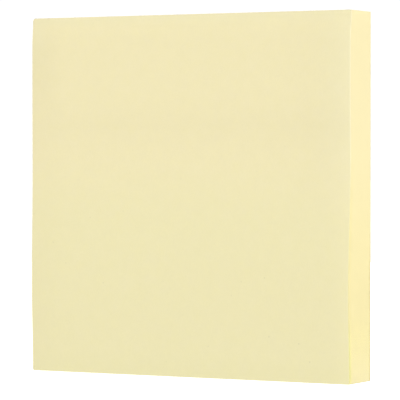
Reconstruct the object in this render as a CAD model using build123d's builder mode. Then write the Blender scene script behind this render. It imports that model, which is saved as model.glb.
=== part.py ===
from build123d import *
import os

# Sticky note pad: square paper notes piled face to back on a backing sheet. Each
# note holds to the one behind it by a band of adhesive along its top edge, and is
# loose below that band, where the pile first draws in and then swells out to a
# belly. The swell is greater along the right side than along the left.
# The pad stands on the bottom edges of its sheets. X runs across the notes, -Y is
# the way the writing side faces, and Z is up. The origin is the middle of the foot.
# All sizes are in millimetres.

# Sheets
NOTE_WIDTH = 76.0
NOTE_HEIGHT = 76.0
NOTE_COUNT = 100
PAPER_THICKNESS = 0.09
BACKING_THICKNESS = 0.12

# Swell: what adhesive and air add to the depth of the pressed paper, by height
LEFT_TOP_SWELL = 0.2  # at the cut top edge
RIGHT_TOP_SWELL = 0.1
LEFT_BAND_SWELL = 0.55  # over the adhesive band
RIGHT_BAND_SWELL = 0.75
LEFT_WAIST_SWELL = 0.5  # in the hollow under the band
RIGHT_WAIST_SWELL = 0.5
LEFT_BELLY_SWELL = 0.8  # where the loose notes stand furthest out
RIGHT_BELLY_SWELL = 1.5
LEFT_FOOT_SWELL = 0.2  # at the cut lower edge
RIGHT_FOOT_SWELL = 0.65

# Heights of those places
BAND_HEIGHT = 22.5  # of the adhesive, from the top edge down
BAND_BEND = 4.0  # from the lower edge of the adhesive up to where the notes lie flat
WAIST_DROP = 10.0  # from the lower edge of the adhesive down to the waist
TOP_EASE = 6.0  # from the top edge down to where the full band swell is reached
BELLY_HEIGHT = 18.0  # above the foot

# Top note: how far its loose end stands off the note behind it
BELLY_LIFT = 0.06
LEFT_FOOT_LIFT = 0.25
RIGHT_FOOT_LIFT = 0.35

# Spare paper past the top edge and the foot, which is cut off square in one pass
TRIM = 1.0

# Rounding of the sheet corners, as seen from the writing side
TOP_LEFT_ROUND = 0.6
BOTTOM_LEFT_ROUND = 0.35
RIGHT_ROUND = 0.15

BAND_EDGE = NOTE_HEIGHT - BAND_HEIGHT
UNDER_NOTES = (NOTE_COUNT - 1) * PAPER_THICKNESS
FULLEST_SWELL = max(LEFT_BELLY_SWELL, RIGHT_BELLY_SWELL)
PAD_DEPTH = BACKING_THICKNESS + UNDER_NOTES + FULLEST_SWELL + BELLY_LIFT + PAPER_THICKNESS
BACK = PAD_DEPTH / 2
LINER_FRONT = BACK - BACKING_THICKNESS
UNDER_FRONT = LINER_FRONT - UNDER_NOTES
UP = (0, 1)

LEFT = {
    "plane": Plane.YZ.offset(-NOTE_WIDTH / 2),
    "top": LEFT_TOP_SWELL,
    "band": LEFT_BAND_SWELL,
    "waist": LEFT_WAIST_SWELL,
    "belly": LEFT_BELLY_SWELL,
    "foot": LEFT_FOOT_SWELL,
    "lift": LEFT_FOOT_LIFT,
}
RIGHT = {
    "plane": Plane.YZ.offset(NOTE_WIDTH / 2),
    "top": RIGHT_TOP_SWELL,
    "band": RIGHT_BAND_SWELL,
    "waist": RIGHT_WAIST_SWELL,
    "belly": RIGHT_BELLY_SWELL,
    "foot": RIGHT_FOOT_SWELL,
    "lift": RIGHT_FOOT_LIFT,
}


def front_line(side, pressed, belly_lift=0, foot_lift=0):
    """Draw the front of the untrimmed pile at one side, from its foot to its top edge.

    The curve stands upright at each named height, and bends evenly in between.
    Returns its two end points.
    """
    foot = (pressed - side["foot"] - foot_lift, 0)
    belly = (pressed - side["belly"] - belly_lift, BELLY_HEIGHT)
    waist = (pressed - side["waist"], BAND_EDGE - WAIST_DROP)
    band_foot = (pressed - side["band"], BAND_EDGE + BAND_BEND)
    band_top = (pressed - side["band"], NOTE_HEIGHT - TOP_EASE)
    top = (pressed - side["top"], NOTE_HEIGHT)
    spare_foot = (foot[0], -TRIM)
    spare_top = (top[0], NOTE_HEIGHT + TRIM)
    Line(spare_foot, foot)
    Spline(foot, belly, tangents=(UP, UP))
    Spline(belly, waist, tangents=(UP, UP))
    Spline(waist, band_foot, tangents=(UP, UP))
    Line(band_foot, band_top)
    Spline(band_top, top, tangents=(UP, (side["band"] - side["top"], TOP_EASE)))
    Line(top, spare_top)
    return spare_foot, spare_top


def trim():
    """Cut the spare paper off the sheets being built, level with the foot and the top edge."""
    split(bisect_by=Plane.XY, keep=Keep.TOP)
    split(bisect_by=Plane.XY.offset(NOTE_HEIGHT), keep=Keep.BOTTOM)


def round_corners(sheets):
    """Round the four corners of the sheets, along the edges that run front to back."""
    bottom, top, left, right = 0, -1, 0, -1
    radii = {
        (top, left): TOP_LEFT_ROUND,
        (top, right): RIGHT_ROUND,
        (bottom, left): BOTTOM_LEFT_ROUND,
        (bottom, right): RIGHT_ROUND,
    }
    for (level, side), radius in radii.items():
        corners = sheets.edges().filter_by(Axis.Y).group_by(Axis.Z)[level]
        fillet(corners.sort_by(Axis.X)[side], radius)


# Backing sheet: the plain liner that covers the adhesive of the last note
with BuildPart() as backing_sheet:
    with BuildSketch(Plane.XZ.offset(-BACK)):
        Rectangle(NOTE_WIDTH, NOTE_HEIGHT, align=(Align.CENTER, Align.MIN))
    extrude(amount=BACKING_THICKNESS)
    round_corners(backing_sheet)

# Note block: every note but the top one, joined at the adhesive band
with BuildPart() as note_block:
    for side in (LEFT, RIGHT):
        with BuildSketch(side["plane"]):
            with BuildLine():
                block_foot, block_top = front_line(side, UNDER_FRONT)
                Polyline(
                    block_foot, (LINER_FRONT, -TRIM), (LINER_FRONT, NOTE_HEIGHT + TRIM), block_top
                )
            make_face()
    loft(ruled=True)
    trim()
    round_corners(note_block)

# Top note: flush with the block as far down as the waist, and lifting off it below
with BuildPart() as top_note:
    for side in (LEFT, RIGHT):
        with BuildSketch(side["plane"]):
            with BuildLine():
                back_foot, back_top = front_line(side, UNDER_FRONT, BELLY_LIFT, side["lift"])
                front_foot, front_top = front_line(
                    side, UNDER_FRONT - PAPER_THICKNESS, BELLY_LIFT, side["lift"]
                )
                Line(back_foot, front_foot)
                Line(back_top, front_top)
            make_face()
    loft(ruled=True)
    trim()
    round_corners(top_note)

backing_sheet.part.label = "backing_sheet"
note_block.part.label = "note_block"
top_note.part.label = "top_note"

os.makedirs("parts", exist_ok=True)
export_step(backing_sheet.part, "parts/backing_sheet.step")
export_step(note_block.part, "parts/note_block.step")
export_step(top_note.part, "parts/top_note.step")
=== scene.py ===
import logging
import math
import random
from dataclasses import dataclass
from enum import Enum
from typing import Callable, Optional, Union

import bpy
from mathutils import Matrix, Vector


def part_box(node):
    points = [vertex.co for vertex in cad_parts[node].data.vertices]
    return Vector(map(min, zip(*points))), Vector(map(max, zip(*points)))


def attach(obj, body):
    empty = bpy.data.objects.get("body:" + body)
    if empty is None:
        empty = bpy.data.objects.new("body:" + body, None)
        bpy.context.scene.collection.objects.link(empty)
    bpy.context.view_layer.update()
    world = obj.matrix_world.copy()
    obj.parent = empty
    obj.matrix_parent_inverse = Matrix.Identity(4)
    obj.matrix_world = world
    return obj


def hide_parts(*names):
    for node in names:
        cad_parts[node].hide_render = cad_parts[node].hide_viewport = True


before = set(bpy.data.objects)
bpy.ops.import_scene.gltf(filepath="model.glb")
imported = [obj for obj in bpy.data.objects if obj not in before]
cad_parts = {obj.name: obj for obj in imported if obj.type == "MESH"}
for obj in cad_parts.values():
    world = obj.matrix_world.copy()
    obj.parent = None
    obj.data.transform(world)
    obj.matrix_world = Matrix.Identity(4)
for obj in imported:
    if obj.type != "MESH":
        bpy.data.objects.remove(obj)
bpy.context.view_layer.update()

log = logging.getLogger("sticky_note_pad")

MM = 0.001
NOTE_SLOT = "note_paper"
LINER_SLOT = "backing_paper"

# Numbers stored on the points of every sheet
PLACE = "pile"  # its place in the pile, from 0 at the backing sheet to 1 at the front of the block
TONE = "tone"  # its own shade, from 0 to 1

Point = tuple[float, float, float]
Colour = tuple[float, float, float]
Span = tuple[float, float]


# --------------------------------------------------------------------------------------
# Shader expressions
# --------------------------------------------------------------------------------------


class Sum(Enum):
    """The arithmetic of a Math node."""

    ADD = "ADD"
    SUBTRACT = "SUBTRACT"
    MULTIPLY = "MULTIPLY"


class Ramp(Enum):
    """The course of a number between two limits, which is level outside them."""

    STRAIGHT = "LINEAR"
    SOFT = "SMOOTHSTEP"


class Blend(Enum):
    """How a Mix node puts two colours together."""

    MIX = "MIX"
    MULTIPLY = "MULTIPLY"


@dataclass(frozen=True)
class Grain:
    """A noise pattern on Object coordinates.

    The scale is in features to the millimetre, the detail is in octaves, and rough is the weight of the
    finer ones. The pattern is turned about X, Y and Z, in radians, and is then made finer along each
    axis by its stretch.
    """

    scale: float
    detail: float
    rough: float = 0.5
    turn: Point = (0.0, 0.0, 0.0)
    stretch: Point = (1.0, 1.0, 1.0)


class Val:
    """A number that a shader works out: one output socket, with the arithmetic operators."""

    def __init__(self, graph: "Graph", socket: bpy.types.NodeSocket) -> None:
        """Wrap an output socket.

        Args:
            graph: the node graph that the socket is in.
            socket: the output socket.
        """
        self.graph = graph
        self.socket = socket

    def _math(self, operation: Sum, first: "Number", second: "Number") -> "Val":
        """Return the result of a two-input Math node."""
        return self.graph.number("ShaderNodeMath", {"operation": operation.value}, {0: first, 1: second})

    def __add__(self, other: "Number") -> "Val":
        """Return self + other."""
        return self._math(Sum.ADD, self, other)

    def __radd__(self, other: "Number") -> "Val":
        """Return other + self."""
        return self._math(Sum.ADD, other, self)

    def __sub__(self, other: "Number") -> "Val":
        """Return self - other."""
        return self._math(Sum.SUBTRACT, self, other)

    def __rsub__(self, other: "Number") -> "Val":
        """Return other - self."""
        return self._math(Sum.SUBTRACT, other, self)

    def __mul__(self, other: "Number") -> "Val":
        """Return self * other."""
        return self._math(Sum.MULTIPLY, self, other)

    def __rmul__(self, other: "Number") -> "Val":
        """Return other * self."""
        return self._math(Sum.MULTIPLY, other, self)

    def rise(self, low: float, high: float, ramp: Ramp = Ramp.SOFT) -> "Val":
        """Return 0 where self is low or less, 1 where it is high or more, and a ramp between."""
        inputs = {"Value": self, "From Min": low, "From Max": high}
        return self.graph.number("ShaderNodeMapRange", {"interpolation_type": ramp.value}, inputs, "Result")

    def fall(self, low: float, high: float, ramp: Ramp = Ramp.SOFT) -> "Val":
        """Return 1 where self is low or less, 0 where it is high or more, and a ramp between."""
        return 1.0 - self.rise(low, high, ramp)

    def bell(self, centre: float, reach: float) -> "Val":
        """Return 1 where self is at the centre, falling softly to 0 at the reach on both sides."""
        return self.rise(centre - reach, centre) * self.fall(centre, centre + reach)


Number = Union[Val, float, int]


class Graph:
    """The node graph of one material, built by expressions around one Principled shader."""

    def __init__(self, name: str) -> None:
        """Start an empty material.

        Args:
            name: the material's name.
        """
        self.material = bpy.data.materials.new(name)
        self.material.use_nodes = True
        self.tree = self.material.node_tree
        self.tree.nodes.clear()
        self.shader = self.node("ShaderNodeBsdfPrincipled", {}, {})
        self.node("ShaderNodeOutputMaterial", {}, {"Surface": self.shader.outputs["BSDF"]})

    def node(self, kind: str, settings: dict, inputs: dict) -> bpy.types.Node:
        """Add one node of any type.

        Args:
            kind: the node's type name.
            settings: properties of the node, which are set before its sockets.
            inputs: values or links by socket name or number.

        Returns:
            The new node.
        """
        made = self.tree.nodes.new(kind)
        for name, value in settings.items():
            setattr(made, name, value)
        for key, value in inputs.items():
            self.feed(self.pick(made.inputs, key), value)
        return made

    @staticmethod
    def pick(sockets: bpy.types.bpy_prop_collection, key: Union[int, str]) -> bpy.types.NodeSocket:
        """Find one socket of a node.

        Args:
            sockets: the node's inputs or outputs.
            key: the socket's number or name.

        Returns:
            The socket of that number, or the one of that name that the node's settings leave in use.
        """
        if isinstance(key, int):
            return sockets[key]
        return next(socket for socket in sockets if socket.name == key and socket.enabled)

    def feed(self, socket: bpy.types.NodeSocket, value: object) -> None:
        """Link or set an input socket.

        Args:
            socket: the input socket.
            value: a Val or an output socket to link, or a plain number or colour to set.
        """
        if isinstance(value, Val):
            value = value.socket
        if isinstance(value, bpy.types.NodeSocket):
            self.tree.links.new(value, socket)
        else:
            socket.default_value = value

    def number(self, kind: str, settings: dict, inputs: dict, output: Union[int, str] = 0) -> Val:
        """Add a node and return one of its outputs as a number."""
        return Val(self, self.pick(self.node(kind, settings, inputs).outputs, output))

    def place(
        self, turn: Point = (0.0, 0.0, 0.0), stretch: Point = (1.0, 1.0, 1.0)
    ) -> bpy.types.NodeSocket:
        """Return Object coordinates in millimetres, turned and then stretched.

        Args:
            turn: rotation about X, Y and Z, in radians.
            stretch: factor along each axis, over 1 where a pattern is to be finer.

        Returns:
            The vector output of a Mapping node.
        """
        coordinates = self.node("ShaderNodeTexCoord", {}, {}).outputs["Object"]
        scale = tuple(factor / MM for factor in stretch)
        inputs = {"Vector": coordinates, "Rotation": turn, "Scale": scale}
        return self.node("ShaderNodeMapping", {}, inputs).outputs["Vector"]

    def axis(self, name: str) -> Val:
        """Return one Object coordinate in millimetres, by the name X, Y or Z."""
        return self.number("ShaderNodeSeparateXYZ", {}, {"Vector": self.place()}, name)

    def noise(self, grain: Grain) -> Val:
        """Return a noise from about 0 to 1, centred on 0.5.

        Args:
            grain: the pattern.

        Returns:
            The noise as a number.
        """
        vector = self.place(grain.turn, grain.stretch)
        inputs = {"Vector": vector, "Scale": grain.scale, "Detail": grain.detail, "Roughness": grain.rough}
        return self.number("ShaderNodeTexNoise", {}, inputs, "Fac")

    def swing(self, grain: Grain) -> Val:
        """Return a noise centred on 0."""
        return self.noise(grain) - 0.5

    def attribute(self, name: str) -> Val:
        """Return a number stored on the mesh under that name."""
        settings = {"attribute_type": "GEOMETRY", "attribute_name": name}
        return self.number("ShaderNodeAttribute", settings, {}, "Fac")

    def mix(
        self, factor: Number, first: object, second: object, blend: Blend = Blend.MIX
    ) -> bpy.types.NodeSocket:
        """Return the mix of two colours.

        Args:
            factor: 0 for the first colour and 1 for the second.
            first: a colour, as three numbers or an output.
            second: the same.
            blend: how they are put together.

        Returns:
            The colour output.
        """
        settings = {"data_type": "RGBA", "blend_type": blend.value}
        inputs = {"Factor": factor, "A": self.opaque(first), "B": self.opaque(second)}
        return self.pick(self.node("ShaderNodeMix", settings, inputs).outputs, "Result")

    @staticmethod
    def opaque(colour: object) -> object:
        """Return three numbers as a colour with full alpha, and anything else as it is."""
        return (*colour, 1.0) if isinstance(colour, tuple) and len(colour) == 3 else colour

    def tint(
        self, colour: object, level: Number, blue: Optional[Number] = None
    ) -> bpy.types.NodeSocket:
        """Return a colour made lighter or darker.

        Args:
            colour: three numbers or an output.
            level: the factor, where 1 leaves the colour as it is.
            blue: the factor for its blue alone, if another, which makes a yellow paler or deeper.

        Returns:
            The colour output.
        """
        factors = {"X": level, "Y": level, "Z": level if blue is None else blue}
        factor = self.node("ShaderNodeCombineXYZ", {}, factors).outputs["Vector"]
        return self.mix(1.0, colour, factor, Blend.MULTIPLY)

    def bump(
        self, height: Val, distance: float, over: Optional[bpy.types.NodeSocket] = None
    ) -> bpy.types.NodeSocket:
        """Return a normal bumped by a height from 0 to 1.

        Args:
            height: the relief.
            distance: how high a relief of 1 stands, in metres.
            over: a normal that is bumped already, which this relief lies on.

        Returns:
            The normal output.
        """
        inputs = {"Height": height, "Distance": distance}
        if over is not None:
            inputs["Normal"] = over
        return self.node("ShaderNodeBump", {}, inputs).outputs["Normal"]

    def finish(self, **sockets: object) -> bpy.types.Material:
        """Feed the Principled shader's sockets and return the material.

        Args:
            **sockets: values or links, by socket name with _ for a space.

        Returns:
            The finished material.
        """
        for name, value in sockets.items():
            self.feed(self.shader.inputs[name.replace("_", " ")], self.opaque(value))
        return self.material


# --------------------------------------------------------------------------------------
# Finishes. Heights are in millimetres above the foot, and reaches across are in
# millimetres from the middle of the pad, with the right side positive. A sheet's place in
# the pile goes from 0 at the backing sheet to 1 at the front of the block. A Span holds
# the two values between which something sets in or dies away.
# --------------------------------------------------------------------------------------

HELD: Span = (30.0, 50.0)  # heights between which hanging notes come under the adhesive's hold
WHITE: Colour = (1.0, 1.0, 1.0)
BLACK: Colour = (0.0, 0.0, 0.0)


@dataclass(frozen=True)
class FibreSpecks:
    """A few tiny dark fibre ends, gathered in patches and plainer lower down the sheet."""

    strength: float = 0.11
    cells_per_mm: float = 0.11
    size_in_cells: Span = (0.008, 0.024)
    patches: Grain = Grain(scale=0.045, detail=1.0)
    patch_limits: Span = (0.44, 0.60)
    fading: Span = (5.0, 70.0)

    def darkening(self, g: Graph, up: Val) -> Val:
        """Return how much darker the specks are than the paper.

        Args:
            g: the graph of the paper's material.
            up: the height above the foot.

        Returns:
            Up to the strength in a speck, and 0 elsewhere.
        """
        inputs = {"Vector": g.place(turn=(math.pi / 2, 0.0, 0.0)), "Scale": self.cells_per_mm}
        near = g.number("ShaderNodeTexVoronoi", {"voronoi_dimensions": "2D"}, inputs, "Distance")
        patch = g.noise(self.patches).rise(*self.patch_limits)
        return near.fall(*self.size_in_cells) * patch * up.fall(*self.fading) * self.strength


@dataclass(frozen=True)
class Crease:
    """The faint level shadow at the adhesive's edge: a soft band with a fine line along its middle."""

    height: float = 52.7
    band: float = 0.012
    band_reach: float = 8.0
    line: float = 0.004
    line_reach: float = 2.0

    def darkening(self, up: Val) -> Val:
        """Return how much darker the crease is than the paper."""
        band, line = up.bell(self.height, self.band_reach), up.bell(self.height, self.line_reach)
        return band * self.band + line * self.line


@dataclass(frozen=True)
class BentMargins:
    """The margins of the sheet, which bend back a little where the blade pressed them.

    The left margin bends further, most of all near the top.
    """

    left: Span = (-38.0, -29.5)
    left_depth: float = 0.33 * MM
    left_least: float = 0.35
    left_fullest_height: float = 65.0
    left_reach: float = 15.0
    right: Span = (34.0, 38.0)
    right_depth: float = 0.10 * MM

    def normal(self, g: Graph, across: Val, up: Val) -> bpy.types.NodeSocket:
        """Return the normal of the bent sheet.

        Args:
            g: the graph of the paper's material.
            across: the reach across.
            up: the height above the foot.

        Returns:
            The normal output.
        """
        left = across.fall(*self.left, Ramp.STRAIGHT)
        right = across.rise(*self.right, Ramp.STRAIGHT)
        fullest = up.bell(self.left_fullest_height, self.left_reach)
        share = self.left_least + fullest * (1.0 - self.left_least)
        bent = g.bump(1.0 - left * left * share, self.left_depth)
        return g.bump(1.0 - right * right, self.right_depth, bent)


@dataclass(frozen=True)
class NotePaper:
    """The face of a note: uncoated pastel paper, matt, with a fine felt of fibres.

    The sheet lies close over the adhesive. Lower down, where it hangs loose, it is painted a touch deeper
    in
    colour, most of all at the foot: painted shade. Its rims over the adhesive are painted paler: painted
    highlight. Under the lifted corner of the top note, the light that comes through it brightens the notes
    behind.
    """

    # Colours, and where they set in
    colour: Colour = (0.880, 0.795, 0.480)
    # painted shade: the deeper colour of the loose lower part of the sheet
    loose_shade_colour: Colour = (0.850, 0.782, 0.462)
    # painted shade: deeper still at the foot
    foot_shade_colour: Colour = (0.836, 0.774, 0.449)
    foot: Span = (0.0, 6.0)
    # painted highlight: the paler colour of the rims
    rim_highlight: Colour = (0.882, 0.806, 0.499)
    left_rim: Span = (-38.0, -33.0)
    left_rim_heights: Span = (62.0, 74.0)
    right_rim: Span = (28.0, 38.0)
    top_rim: Span = (73.0, 76.0)
    under_lift: Colour = (0.99, 0.96, 0.46)
    lifted_corner: Span = (36.4, 37.2)
    lifted_heights: Span = (8.0, 16.0)
    behind_top_note: Span = (1.0, 1.04)

    # Soft light and shade from the form of the sheet
    belly_light: float = 0.012
    belly_height: float = 11.0
    belly_reach: float = 14.0
    top_shade: float = 0.016
    top: Span = (68.0, 72.0)
    right_shade: float = 0.014
    right: Span = (18.0, 36.0)

    # Unevenness of the paper
    cloud: float = 0.010
    cloud_grain: Grain = Grain(scale=0.12, detail=3.0)
    mottle: float = 0.038
    mottle_grain: Grain = Grain(scale=0.4, detail=3.0, rough=0.65, turn=(0.0, 1.1, 0.0))
    fleck: float = 0.050
    fleck_gloss: float = 0.08
    fleck_grain: Grain = Grain(scale=3.2, detail=4.0, rough=0.62, stretch=(1.0, 1.0, 0.6))
    dye: float = 0.100
    dye_grain: Grain = Grain(scale=0.5, detail=3.0, rough=0.65, turn=(0.0, 2.0, 0.0))
    specks: FibreSpecks = FibreSpecks()
    crease: Crease = Crease()

    # Relief
    margins: BentMargins = BentMargins()
    fibres: Grain = Grain(scale=2.6, detail=3.0, rough=0.6, turn=(0.0, 0.35, 0.0), stretch=(1.0, 1.0, 3.5))
    felt: Grain = Grain(scale=5.5, detail=2.0, rough=0.55, turn=(0.0, -0.9, 0.0), stretch=(1.0, 1.0, 2.6))
    fibre_share: float = 0.6
    fibre_height: float = 0.006 * MM
    roughness: float = 0.86

    def make(self) -> bpy.types.Material:
        """Build the material.

        Returns:
            The material.
        """
        g = Graph("note_face")
        across, up = g.axis("X"), g.axis("Z")
        held = up.rise(*HELD)
        fleck = g.swing(self.fleck_grain)
        level = self._level(g, across, up, held) + fleck * self.fleck
        blue = level + g.swing(self.dye_grain) * self.dye
        relief = g.noise(self.fibres) * self.fibre_share + g.noise(self.felt) * (1.0 - self.fibre_share)
        return g.finish(
            Base_Color=g.tint(self._colour(g, across, up, held), level, blue),
            Roughness=self.roughness + fleck * self.fleck_gloss,
            Normal=g.bump(relief, self.fibre_height, self.margins.normal(g, across, up)),
            IOR=1.45,
            Specular_IOR_Level=0.25,
        )

    def _level(self, g: Graph, across: Val, up: Val, held: Val) -> Val:
        """Return how light the paper is.

        Args:
            g: the graph.
            across: the reach across.
            up: the height above the foot.
            held: 1 where the sheet is held, and 0 where it hangs loose.

        Returns:
            The level, where 1 is the plain colour.
        """
        level = 1.0 + g.swing(self.cloud_grain) * self.cloud + g.swing(self.mottle_grain) * self.mottle
        level = level - self.specks.darkening(g, up) - self.crease.darkening(up)
        level = level + up.bell(self.belly_height, self.belly_reach) * self.belly_light
        level = level - up.rise(*self.top) * self.top_shade
        return level - across.rise(*self.right) * held * self.right_shade

    def _colour(self, g: Graph, across: Val, up: Val, held: Val) -> bpy.types.NodeSocket:
        """Return the paper's colour before it is made lighter or darker.

        Args:
            g: the graph.
            across: the reach across.
            up: the height above the foot.
            held: 1 where the sheet is held, and 0 where it hangs loose.

        Returns:
            The colour output.
        """
        left_rim = across.fall(*self.left_rim) * up.rise(*self.left_rim_heights)
        rims = left_rim + across.rise(*self.right_rim) * held + up.rise(*self.top_rim)
        behind = g.attribute(PLACE).fall(*self.behind_top_note)
        corner = across.rise(*self.lifted_corner) * up.fall(*self.lifted_heights) * behind
        # painted shade: the colour deepens lower down, where the sheet hangs loose
        colour = g.mix(held, self.loose_shade_colour, self.colour)
        # painted highlight: the rims along the top, the upper left and the held right margin are paler
        colour = g.mix(rims, colour, self.rim_highlight)
        # painted shade: deeper still at the foot
        colour = g.mix(up.fall(*self.foot), colour, self.foot_shade_colour)
        return g.mix(corner, colour, self.under_lift)


@dataclass(frozen=True)
class CutEdge:
    """The guillotined edges of a pile of sheets, each a little different from the next.

    Edges that are pressed together are paler than those with air between them, which carry painted shade of
    the gaps. The foremost ones are palest where they are held, a painted highlight, and the foremost and
    hindmost are deepest where they hang loose, painted shade of the gaps between them. Light that comes
    through the paper fills the gaps of the belly, and those at the foot, where the foremost few sheets fan
    apart.
    """

    name: str = "note_edge"

    # Colours, and the heights and sheets where they set in
    tight: Colour = (0.866, 0.768, 0.447)
    # painted shade of the air gaps between loose sheets
    loose: Colour = (0.852, 0.754, 0.402)
    gap_shade_heights: Span = (15.0, 60.0)
    pressed_foot: Span = (-2.0, 10.0)
    # painted highlight on the foremost edges where they are held
    foremost: Colour = (0.875, 0.80, 0.53)
    foremost_sheets: Span = (0.95, 1.0)
    # painted shade of the gaps among the foremost sheets where they hang loose
    gap_shade: Colour = (0.86, 0.765, 0.385)
    gap_shade_sheets: Span = (0.80, 1.0)
    fanned: Colour = (0.90, 0.835, 0.395)
    fanned_sheets: Span = (0.93, 0.96)
    fanned_heights: Span = (6.0, 14.0)
    # painted shade of the gaps among the hindmost sheets, low down
    rear_gap_shade: Colour = (0.765, 0.65, 0.335)
    rear_gap_shade_sheets: Span = (0.025, 0.075)
    rear_gap_shade_heights: Span = (23.0, 33.0)

    # Light and shade along the pile
    filled: float = 0.040
    filled_height: float = 22.0
    filled_reach: float = 18.0
    top_shade: float = 0.022
    top: Span = (69.0, 74.0)
    foot_shade: float = 0.016
    foot: Span = (6.0, 22.0)

    # Unevenness from sheet to sheet, and the drag marks and burrs of the blade
    spread: float = 0.005
    drag: float = 0.012
    drag_gloss: float = 0.1
    drag_grain: Grain = Grain(scale=1.4, detail=3.0, rough=0.6, stretch=(1.0, 1.0, 0.25))
    burr_height: float = 0.01 * MM
    burr_grain: Grain = Grain(scale=9.0, detail=2.0, rough=0.6)
    roughness: float = 0.9

    def make(self) -> bpy.types.Material:
        """Build the material.

        Returns:
            The material.
        """
        g = Graph(self.name)
        up = g.axis("Z")
        drag = g.swing(self.drag_grain)
        level = 1.0 + (g.attribute(TONE) - 0.5) * self.spread + drag * self.drag
        level = level + up.bell(self.filled_height, self.filled_reach) * self.filled
        level = level - up.rise(*self.top) * self.top_shade - up.fall(*self.foot) * self.foot_shade
        return g.finish(
            Base_Color=g.tint(self._colour(g, up), level),
            Roughness=self.roughness + drag * self.drag_gloss,
            Normal=g.bump(g.noise(self.burr_grain), self.burr_height),
            IOR=1.45,
            Specular_IOR_Level=0.2,
        )

    def _colour(self, g: Graph, up: Val) -> bpy.types.NodeSocket:
        """Return the colour of the edges before it is made lighter or darker.

        Args:
            g: the graph.
            up: the height above the foot.

        Returns:
            The colour output.
        """
        place, held = g.attribute(PLACE), up.rise(*HELD)
        # painted shade of the air gaps between loose sheets, gone at the top and at the pressed foot
        gap_shade_mask = up.fall(*self.gap_shade_heights) * up.rise(*self.pressed_foot)
        colour = g.mix(gap_shade_mask, self.tight, self.loose)
        # painted highlight on the foremost edges where they are held
        colour = g.mix(place.rise(*self.foremost_sheets) * held, colour, self.foremost)
        # painted shade of the gaps among the foremost sheets where they hang loose
        colour = g.mix(place.rise(*self.gap_shade_sheets) * (1.0 - held), colour, self.gap_shade)
        fanned = place.rise(*self.fanned_sheets) * up.fall(*self.fanned_heights)
        # painted shade of the gaps among the hindmost sheets, low down
        rear_gap_shade = place.fall(*self.rear_gap_shade_sheets) * up.fall(*self.rear_gap_shade_heights)
        return g.mix(rear_gap_shade, g.mix(fanned, colour, self.fanned), self.rear_gap_shade)


@dataclass(frozen=True)
class LinerPaper:
    """The backing sheet: a smooth calendered liner with a slight sheen.

    It is a touch deeper in colour and smoother over the adhesive.
    """

    colour: Colour = (0.83, 0.72, 0.37)
    band: Span = (52.9, 54.1)
    band_depth: float = 0.022
    band_gloss: float = 0.03
    cloud: float = 0.05
    cloud_gloss: float = 0.12
    cloud_grain: Grain = Grain(scale=0.10, detail=4.0, rough=0.55)
    streak: float = 0.03
    streak_grain: Grain = Grain(scale=2.4, detail=3.0, rough=0.6, stretch=(1.0, 1.0, 0.15))
    dimple_height: float = 0.008 * MM
    dimple_grain: Grain = Grain(scale=1.8, detail=3.0)
    roughness: float = 0.58

    def make(self) -> bpy.types.Material:
        """Build the material.

        Returns:
            The material.
        """
        g = Graph("liner_face")
        cloud = g.swing(self.cloud_grain)
        band = g.axis("Z").rise(*self.band)
        level = 1.0 + cloud * self.cloud + g.swing(self.streak_grain) * self.streak - band * self.band_depth
        return g.finish(
            Base_Color=g.tint(self.colour, level),
            Roughness=self.roughness + cloud * self.cloud_gloss - band * self.band_gloss,
            Normal=g.bump(g.noise(self.dimple_grain), self.dimple_height),
            IOR=1.48,
            Specular_IOR_Level=0.4,
        )


@dataclass(frozen=True)
class LitWhite:
    """A plain matt white that glows evenly, so that it stays white in the shade of the pad."""

    name: str
    albedo: Colour
    glow: float

    def make(self) -> bpy.types.Material:
        """Return the material."""
        return Graph(self.name).finish(
            Base_Color=self.albedo,
            Roughness=1.0,
            Specular_IOR_Level=0.0,
            Emission_Color=WHITE,
            Emission_Strength=self.glow,
        )


# --------------------------------------------------------------------------------------
# Modelling helpers
# --------------------------------------------------------------------------------------


def deselect_all() -> None:
    """Leave object mode with nothing selected and nothing active."""
    if bpy.context.mode != "OBJECT":
        bpy.ops.object.mode_set(mode="OBJECT")
    bpy.ops.object.select_all(action="DESELECT")
    bpy.context.view_layer.objects.active = None


def pick(*pieces: bpy.types.Object) -> None:
    """Select some objects alone.

    Args:
        *pieces: the objects, of which the first becomes the active one.
    """
    deselect_all()
    for piece in pieces:
        piece.select_set(True)
    bpy.context.view_layer.objects.active = pieces[0]


def select_vertices(piece: bpy.types.Object, wanted: Callable[[Vector], bool]) -> None:
    """Select the vertices of the edited mesh that a test on their place picks out.

    Args:
        piece: the object, which is in edit mode.
        wanted: the test on a vertex's place.
    """
    bpy.ops.mesh.select_all(action="DESELECT")
    bpy.ops.object.mode_set(mode="OBJECT")
    for vertex in piece.data.vertices:
        vertex.select = wanted(vertex.co)
    bpy.ops.object.mode_set(mode="EDIT")


def cut_through(co: Point, normal: Point) -> None:
    """Cut the whole edited mesh by a plane, which adds a row of vertices and removes nothing."""
    bpy.ops.mesh.select_all(action="SELECT")
    bpy.ops.mesh.bisect(plane_co=co, plane_no=normal)


def ease(share: float) -> float:
    """Return a soft step from 0 to 1, level at both ends, for a share from 0 to 1."""
    share = min(max(share, 0.0), 1.0)
    return share * share * (3.0 - 2.0 * share)


# --------------------------------------------------------------------------------------
# The form of the pile
# --------------------------------------------------------------------------------------


@dataclass(frozen=True)
class SideSwell:
    """How far adhesive and air push the front of the pile out along one side. In millimetres."""

    top: float
    band: float
    waist: float
    belly: float
    foot: float
    foot_lift: float


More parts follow.
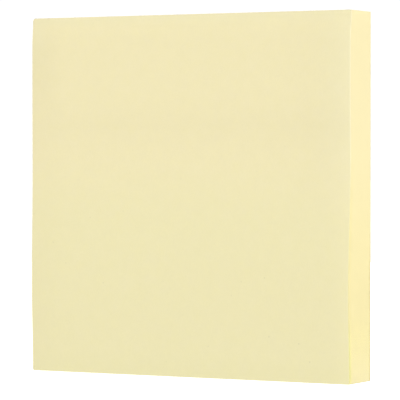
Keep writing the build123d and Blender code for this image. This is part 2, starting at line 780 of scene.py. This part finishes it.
@dataclass(frozen=True)
class PileForm:
    """The front of the pile, between its left and right sides. All in millimetres."""

    width: float = 76.0
    height: float = 76.0
    left: SideSwell = SideSwell(top=0.2, band=0.55, waist=0.5, belly=0.8, foot=0.2, foot_lift=0.25)
    right: SideSwell = SideSwell(top=0.1, band=0.75, waist=0.5, belly=1.5, foot=0.65, foot_lift=0.35)
    band_height: float = 22.5
    band_bend: float = 4.0
    waist_drop: float = 10.0
    top_ease: float = 6.0
    belly_height: float = 18.0
    belly_lift: float = 0.06

    @property
    def band_edge(self) -> float:
        """Return the height of the adhesive's lower edge."""
        return self.height - self.band_height

    def _stations(self, side: SideSwell) -> list[tuple[float, float, float]]:
        """Return height, swell of the pile and lift of the top note along one side, from the foot up."""
        return [
            (0.0, side.foot, side.foot_lift),
            (self.belly_height, side.belly, self.belly_lift),
            (self.band_edge - self.waist_drop, side.waist, 0.0),
            (self.band_edge + self.band_bend, side.band, 0.0),
            (self.height - self.top_ease, side.band, 0.0),
            (self.height, side.top, 0.0),
        ]

    def _along(self, side: SideSwell, z: float) -> tuple[float, float]:
        """Find the swell and the lift at a height along one side.

        Args:
            side: the side.
            z: the height above the foot.

        Returns:
            The swell of the pile and the lift of the top note.
        """
        stations = self._stations(side)
        z = min(max(z, 0.0), self.height)
        for (low, swell, lift), (high, next_swell, next_lift) in zip(stations, stations[1:]):
            if z <= high:
                share = ease((z - low) / (high - low))
                return swell + (next_swell - swell) * share, lift + (next_lift - lift) * share
        return stations[-1][1], stations[-1][2]

    def at(self, place: Vector) -> tuple[float, float]:
        """Return the swell of the pile and the lift of the top note at a place.

        Args:
            place: a point of a sheet, in metres.

        Returns:
            The two distances, in metres.
        """
        x, z = place.x / MM, place.z / MM
        share = x / self.width + 0.5
        swell, lift = self._along(self.left, z)
        right_swell, right_lift = self._along(self.right, z)
        swell += (right_swell - swell) * share
        lift += (right_lift - lift) * share
        return swell * MM, lift * MM


# --------------------------------------------------------------------------------------
# Sheets
# --------------------------------------------------------------------------------------


@dataclass
class Sheet:
    """One cut sheet, modelled flat and upright, with its back on the plane y = 0. In metres."""

    width: float
    height: float
    thickness: float
    row_pitch: float
    top_left_round: float = 0.6 * MM
    top_left_segments: int = 4
    bottom_left_round: float = 0.35 * MM
    bottom_left_segments: int = 3
    right_round: float = 0.15 * MM
    right_segments: int = 2
    same_place: float = 0.01 * MM

    def model(self, name: str) -> bpy.types.Object:
        """Model the sheet: a plane, rounded at its corners, cut into rows and given its thickness.

        Args:
            name: the object's name.

        Returns:
            The sheet's object, at the origin.
        """
        deselect_all()
        middle = (0.0, 0.0, self.height / 2)
        bpy.ops.mesh.primitive_plane_add(size=1.0, location=middle, rotation=(math.pi / 2, 0.0, 0.0))
        sheet = bpy.context.object
        sheet.name = name
        sheet.data.name = name
        sheet.scale = (self.width, self.height, 1.0)
        bpy.ops.object.transform_apply(location=True, rotation=True, scale=True)
        bpy.ops.object.mode_set(mode="EDIT")
        self._round_corners(sheet)
        self._cut_rows()
        bpy.ops.object.mode_set(mode="OBJECT")
        solidify = sheet.modifiers.new("paper", "SOLIDIFY")
        solidify.thickness = self.thickness
        solidify.offset = 1.0
        bpy.ops.object.modifier_apply(modifier=solidify.name)
        return sheet

    def _round_corners(self, sheet: bpy.types.Object) -> None:
        """Bevel the four corner points, each by its own radius.

        Args:
            sheet: the plane, which is in edit mode.
        """
        half = self.width / 2
        corners = [
            (-half, self.height, self.top_left_round, self.top_left_segments),
            (-half, 0.0, self.bottom_left_round, self.bottom_left_segments),
            (half, self.height, self.right_round, self.right_segments),
            (half, 0.0, self.right_round, self.right_segments),
        ]
        for x, z, radius, segments in corners:
            corner = Vector((x, 0.0, z))
            select_vertices(sheet, lambda co: (co - corner).length < self.same_place)
            bpy.ops.mesh.bevel(offset=radius, segments=segments, affect="VERTICES")

    def _cut_rows(self) -> None:
        """Cut the sheet into level rows."""
        rows = round(self.height / self.row_pitch)
        for row in range(1, rows):
            cut_through((0.0, 0.0, self.height * row / rows), (0.0, 0.0, 1.0))


BROAD_FACE = 0.7  # how far along Y a face's normal points, at least, if it is a broad face
SHARP_ANGLE = math.radians(35.0)  # between faces that meet at a cut edge


def dress_by_facing(
    piece: bpy.types.Object, face: bpy.types.Material, edge: bpy.types.Material
) -> None:
    """Give the broad faces of paper one material and its cut edges another.

    Args:
        piece: the sheet or pile of sheets, whose broad faces look along Y.
        face: material of the broad faces.
        edge: material of the cut edges.
    """
    piece.data.materials.clear()
    piece.data.materials.append(face)
    piece.data.materials.append(edge)
    for polygon in piece.data.polygons:
        polygon.material_index = 0 if abs(polygon.normal.y) > BROAD_FACE else 1


def mark(piece: bpy.types.Object, name: str, value: float) -> None:
    """Store one number on every point of a mesh."""
    layer = piece.data.attributes.new(name, "FLOAT", "POINT")
    layer.data.foreach_set("value", [value] * len(piece.data.vertices))


def smooth(piece: bpy.types.Object) -> None:
    """Shade the faces smooth and keep the cut edges sharp."""
    pick(piece)
    bpy.ops.object.shade_smooth_by_angle(angle=SHARP_ANGLE)


@dataclass
class NotePile:
    """The notes under the top one: separate sheets, gummed at the top and loose below.

    Neighbours slip sideways much alike, and each slips a little by itself as well. Where the sheets are
    gummed they lie evenly, and where they are loose they share out the swell by their own steps. The
    foremost few curl forward at the foot with the top note. Lengths are in metres.
    """

    form: PileForm
    front_of_liner: float
    count: int = 99
    pitch: float = 0.09 * MM
    parting: float = 0.004 * MM
    row_pitch: float = 5.0 * MM
    slip: float = 0.008 * MM
    drift_kept: float = 0.8
    drift_added: float = 0.2
    drift_share: float = 1.5
    own_share: float = 0.4
    least_step: float = 2.0
    gummed_ease: float = 10.0 * MM
    gummed_at_edge: float = 0.7
    curled: int = 4
    seed: int = 12

    def shares(self, draw: random.Random) -> list[float]:
        """Return where each sheet of the loose part lies between back and front, from 0 to 1.

        Args:
            draw: the source of random numbers.

        Returns:
            One share for each sheet, rising unevenly as air parts some sheets more than others.
        """
        steps = [self.least_step + draw.random() for _ in range(self.count - 1)]
        total = sum(steps)
        shares = [0.0]
        for step in steps:
            shares.append(shares[-1] + step / total)
        return shares

    def build(self) -> bpy.types.Object:
        """Model one sheet, copy it down the pile, bend every copy to its place and join them.

        Returns:
            The pile as one object of separate closed sheets.
        """
        draw = random.Random(self.seed)
        low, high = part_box("note_block")
        master = Sheet(
            width=high[0] - low[0] - 2 * self.slip,
            height=high[2] - low[2] - self.slip,
            thickness=self.pitch - self.parting,
            row_pitch=self.row_pitch,
        ).model("note_pile")
        loose = self.shares(draw)
        sheets = []
        drift = 0.0
        for number in range(self.count):
            sheet = master if number == self.count - 1 else self._copy(master, number)
            drift = self.drift_kept * drift + self.drift_added * draw.uniform(-1.0, 1.0)
            shift = drift * self.drift_share + self.own_share * draw.uniform(-1.0, 1.0)
            shift = max(-1.0, min(1.0, shift)) * self.slip
            rise = draw.uniform(0.0, 1.0) * self.slip
            self._settle(sheet, number, loose[number], shift, rise)
            mark(sheet, TONE, draw.random())
            mark(sheet, PLACE, number / (self.count - 1))
            sheets.append(sheet)
        pick(sheets[-1], *sheets[:-1])
        bpy.ops.object.join()
        return bpy.context.object

    @staticmethod
    def _copy(master: bpy.types.Object, number: int) -> bpy.types.Object:
        """Copy the master sheet.

        Args:
            master: the sheet that is modelled already.
            number: the copy's place from the backing sheet, starting at 0.

        Returns:
            The copy, with its own mesh.
        """
        sheet = master.copy()
        sheet.data = master.data.copy()
        sheet.name = f"note_{number:02d}"
        bpy.context.collection.objects.link(sheet)
        return sheet

    def _settle(
        self, sheet: bpy.types.Object, number: int, loose: float, shift: float, rise: float
    ) -> None:
        """Bend a flat sheet to its place in the pile.

        Args:
            sheet: the sheet, still flat.
            number: its place from the backing sheet, starting at 0.
            loose: its share of the swell of the loose part.
            shift: its slip to the right.
            rise: its slip upwards.
        """
        gummed = number / (self.count - 1)
        curl = max(0.0, 1.0 - (self.count - number) / self.curled)
        edge = self.form.band_edge * MM
        back = self.front_of_liner - number * self.pitch
        for vertex in sheet.data.vertices:
            hold = ease((vertex.co.z - edge) / self.gummed_ease + self.gummed_at_edge)
            share = loose + (gummed - loose) * hold
            swell, lift = self.form.at(vertex.co)
            vertex.co += Vector((shift, back - swell * share - lift * curl, rise))


@dataclass
class TopNote:
    """The top note, which lifts off the pile at its loose foot. Lengths are in metres."""

    form: PileForm
    back_when_pressed: float
    thickness: float = 0.08 * MM
    row_pitch: float = 1.0 * MM
    tone: float = 0.6
    place: float = 1.05

    def build(self) -> bpy.types.Object:
        """Model the sheet with close rows and bend it over the pile.

        Returns:
            The top note's object.
        """
        low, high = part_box("top_note")
        note = Sheet(
            width=high[0] - low[0],
            height=high[2] - low[2],
            thickness=self.thickness,
            row_pitch=self.row_pitch,
        ).model("top_leaf")
        for vertex in note.data.vertices:
            swell, lift = self.form.at(vertex.co)
            vertex.co.y += self.back_when_pressed - swell - lift
        mark(note, TONE, self.tone)
        mark(note, PLACE, self.place)
        return note


@dataclass
class BackingSheet:
    """The liner behind the last note, a hair inside the pad's back plane. Lengths are in metres."""

    inset: float = 0.001 * MM
    row_pitch: float = 19.0 * MM
    tone: float = 0.3
    place: float = 0.0

    def build(self) -> bpy.types.Object:
        """Model the flat sheet in the place of its CAD node.

        Returns:
            The backing sheet's object.
        """
        low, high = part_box("backing_sheet")
        sheet = Sheet(
            width=high[0] - low[0],
            height=high[2] - low[2],
            thickness=high[1] - low[1] - self.inset,
            row_pitch=self.row_pitch,
        ).model("backing_leaf")
        for vertex in sheet.data.vertices:
            vertex.co.y += high[1] - self.inset
        mark(sheet, TONE, self.tone)
        mark(sheet, PLACE, self.place)
        return sheet


@dataclass
class StickyNotePad:
    """The whole pad: pile, top note and backing sheet."""

    form: PileForm = PileForm()
    note_face: NotePaper = NotePaper()
    note_edge: CutEdge = CutEdge()
    liner_face: LinerPaper = LinerPaper()
    liner_edge: CutEdge = CutEdge("liner_edge", tight=(0.82, 0.72, 0.40))

    def build(self) -> list[bpy.types.Object]:
        """Build and dress the three pieces.

        Returns:
            The pieces.
        """
        front_of_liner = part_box("backing_sheet")[0][1]
        pile_maker = NotePile(self.form, front_of_liner)
        pile = pile_maker.build()
        top = TopNote(self.form, front_of_liner - pile_maker.count * pile_maker.pitch).build()
        backing = BackingSheet().build()

        note_face, note_edge = self.note_face.make(), self.note_edge.make()
        dress_by_facing(pile, note_face, note_edge)
        dress_by_facing(top, note_face, note_edge)
        dress_by_facing(backing, self.liner_face.make(), self.liner_edge.make())

        for piece, node, slot in (
            (pile, "note_block", NOTE_SLOT),
            (top, "top_note", NOTE_SLOT),
            (backing, "backing_sheet", LINER_SLOT),
        ):
            smooth(piece)
            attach(piece, "root")
            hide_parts(node)
        return [pile, top, backing]


# --------------------------------------------------------------------------------------
# Studio
# --------------------------------------------------------------------------------------


def on_sphere(centre: Vector, azimuth: float, elevation: float, distance: float) -> Vector:
    """Return a point round the pad.

    Args:
        centre: the middle of the sphere.
        azimuth: degrees from the front, towards +X.
        elevation: degrees above the level.
        distance: the radius in metres.

    Returns:
        The point.
    """
    a, e = math.radians(azimuth), math.radians(elevation)
    way = Vector((math.sin(a) * math.cos(e), -math.cos(a) * math.cos(e), math.sin(e)))
    return centre + way * distance


def aim(thing: bpy.types.Object, target: Vector) -> None:
    """Turn a camera or light to look at a point."""
    thing.rotation_euler = (target - thing.location).to_track_quat("-Z", "Y").to_euler()


@dataclass(frozen=True)
class SoftBox:
    """One soft studio lamp. Its angles are in degrees, its lengths in metres and its power in watts."""

    name: str
    azimuth: float
    elevation: float
    distance: float
    size: float
    power: float
    colour: Colour = WHITE

    def make(self, target: Vector) -> bpy.types.Object:
        """Hang the lamp.

        Args:
            target: the point that it is aimed at.

        Returns:
            The lamp's object.
        """
        lamp = bpy.data.lights.new(self.name, "AREA")
        lamp.shape = "SQUARE"
        lamp.size = self.size
        lamp.energy = self.power
        lamp.color = self.colour
        thing = bpy.data.objects.new(self.name, lamp)
        bpy.context.collection.objects.link(thing)
        thing.location = on_sphere(target, self.azimuth, self.elevation, self.distance)
        aim(thing, target)
        return thing


@dataclass(frozen=True)
class Viewpoint:
    """The camera. Its lens and sensor are in millimetres, its angles in degrees and the rest in metres."""

    lens: float = 240.3
    sensor: float = 36.0
    target: Vector = Vector((3.34 * MM, -4.39 * MM, 37.16 * MM))
    azimuth: float = 28.75
    elevation: float = 0.97
    distance: float = 557.2 * MM
    nearest: float = 0.01
    furthest: float = 20.0

    def make(self) -> bpy.types.Object:
        """Stand the camera at the right of the pad, level with its middle.

        Returns:
            The camera's object.
        """
        lens = bpy.data.cameras.new("camera")
        lens.sensor_width = self.sensor
        lens.lens = self.lens
        lens.clip_start = self.nearest
        lens.clip_end = self.furthest
        camera = bpy.data.objects.new("camera", lens)
        bpy.context.collection.objects.link(camera)
        camera.location = on_sphere(self.target, self.azimuth, self.elevation, self.distance)
        aim(camera, self.target)
        return camera


@dataclass(frozen=True)
class Studio:
    """Table, backdrop, lamps and camera."""

    lamps: tuple[SoftBox, ...] = (
        SoftBox("key", azimuth=75.0, elevation=12.0, distance=5.0, size=2.0, power=215.0),
        SoftBox("fill", azimuth=-10.0, elevation=15.0, distance=5.0, size=2.4, power=106.0),
        SoftBox("rear", azimuth=200.0, elevation=35.0, distance=5.0, size=2.4, power=160.0),
    )
    pad_middle: Vector = Vector((0.0, 0.0, 38.0 * MM))
    ambient: float = 0.42
    table: LitWhite = LitWhite("table_white", albedo=(0.5, 0.5, 0.5), glow=1.0)
    table_radius: float = 0.6
    table_sides: int = 96
    dome: LitWhite = LitWhite("backdrop_white", albedo=BLACK, glow=1.05)
    dome_radius: float = 4.0
    dome_segments: int = 48
    dome_rings: int = 24
    viewpoint: Viewpoint = Viewpoint()

    def build(self) -> None:
        """Set up everything round the pad."""
        self._table()
        self._backdrop()
        self._surroundings()
        for lamp in self.lamps:
            lamp.make(self.pad_middle)
        bpy.context.scene.camera = self.viewpoint.make()
        bpy.context.scene.view_settings.view_transform = "Standard"

    def _table(self) -> None:
        """Lay the round table top."""
        deselect_all()
        bpy.ops.mesh.primitive_circle_add(
            vertices=self.table_sides, radius=self.table_radius, fill_type="NGON"
        )
        table = bpy.context.object
        table.name = "table"
        table.data.materials.append(self.table.make())
        table.visible_diffuse = False

    def _backdrop(self) -> None:
        """Stand a white dome round it all, which shows behind the pad but adds no light of its own."""
        deselect_all()
        bpy.ops.mesh.primitive_uv_sphere_add(
            segments=self.dome_segments, ring_count=self.dome_rings, radius=self.dome_radius
        )
        dome = bpy.context.object
        dome.name = "backdrop"
        dome.data.materials.append(self.dome.make())
        dome.visible_diffuse = False
        dome.visible_glossy = False
        dome.visible_shadow = False

    def _surroundings(self) -> None:
        """Light everything evenly from all round."""
        world = bpy.data.worlds.new("surroundings")
        bpy.context.scene.world = world
        world.use_nodes = True
        background = world.node_tree.nodes["Background"]
        background.inputs["Color"].default_value = (*WHITE, 1.0)
        background.inputs["Strength"].default_value = self.ambient


def main() -> None:
    """Build the pad and its studio, and report each piece."""
    logging.basicConfig(level=logging.INFO, format="%(name)s: %(message)s")
    for piece in StickyNotePad().build():
        log.info("%s: %d faces", piece.name, len(piece.data.polygons))
    Studio().build()


if __name__ == "__main__":
    main()
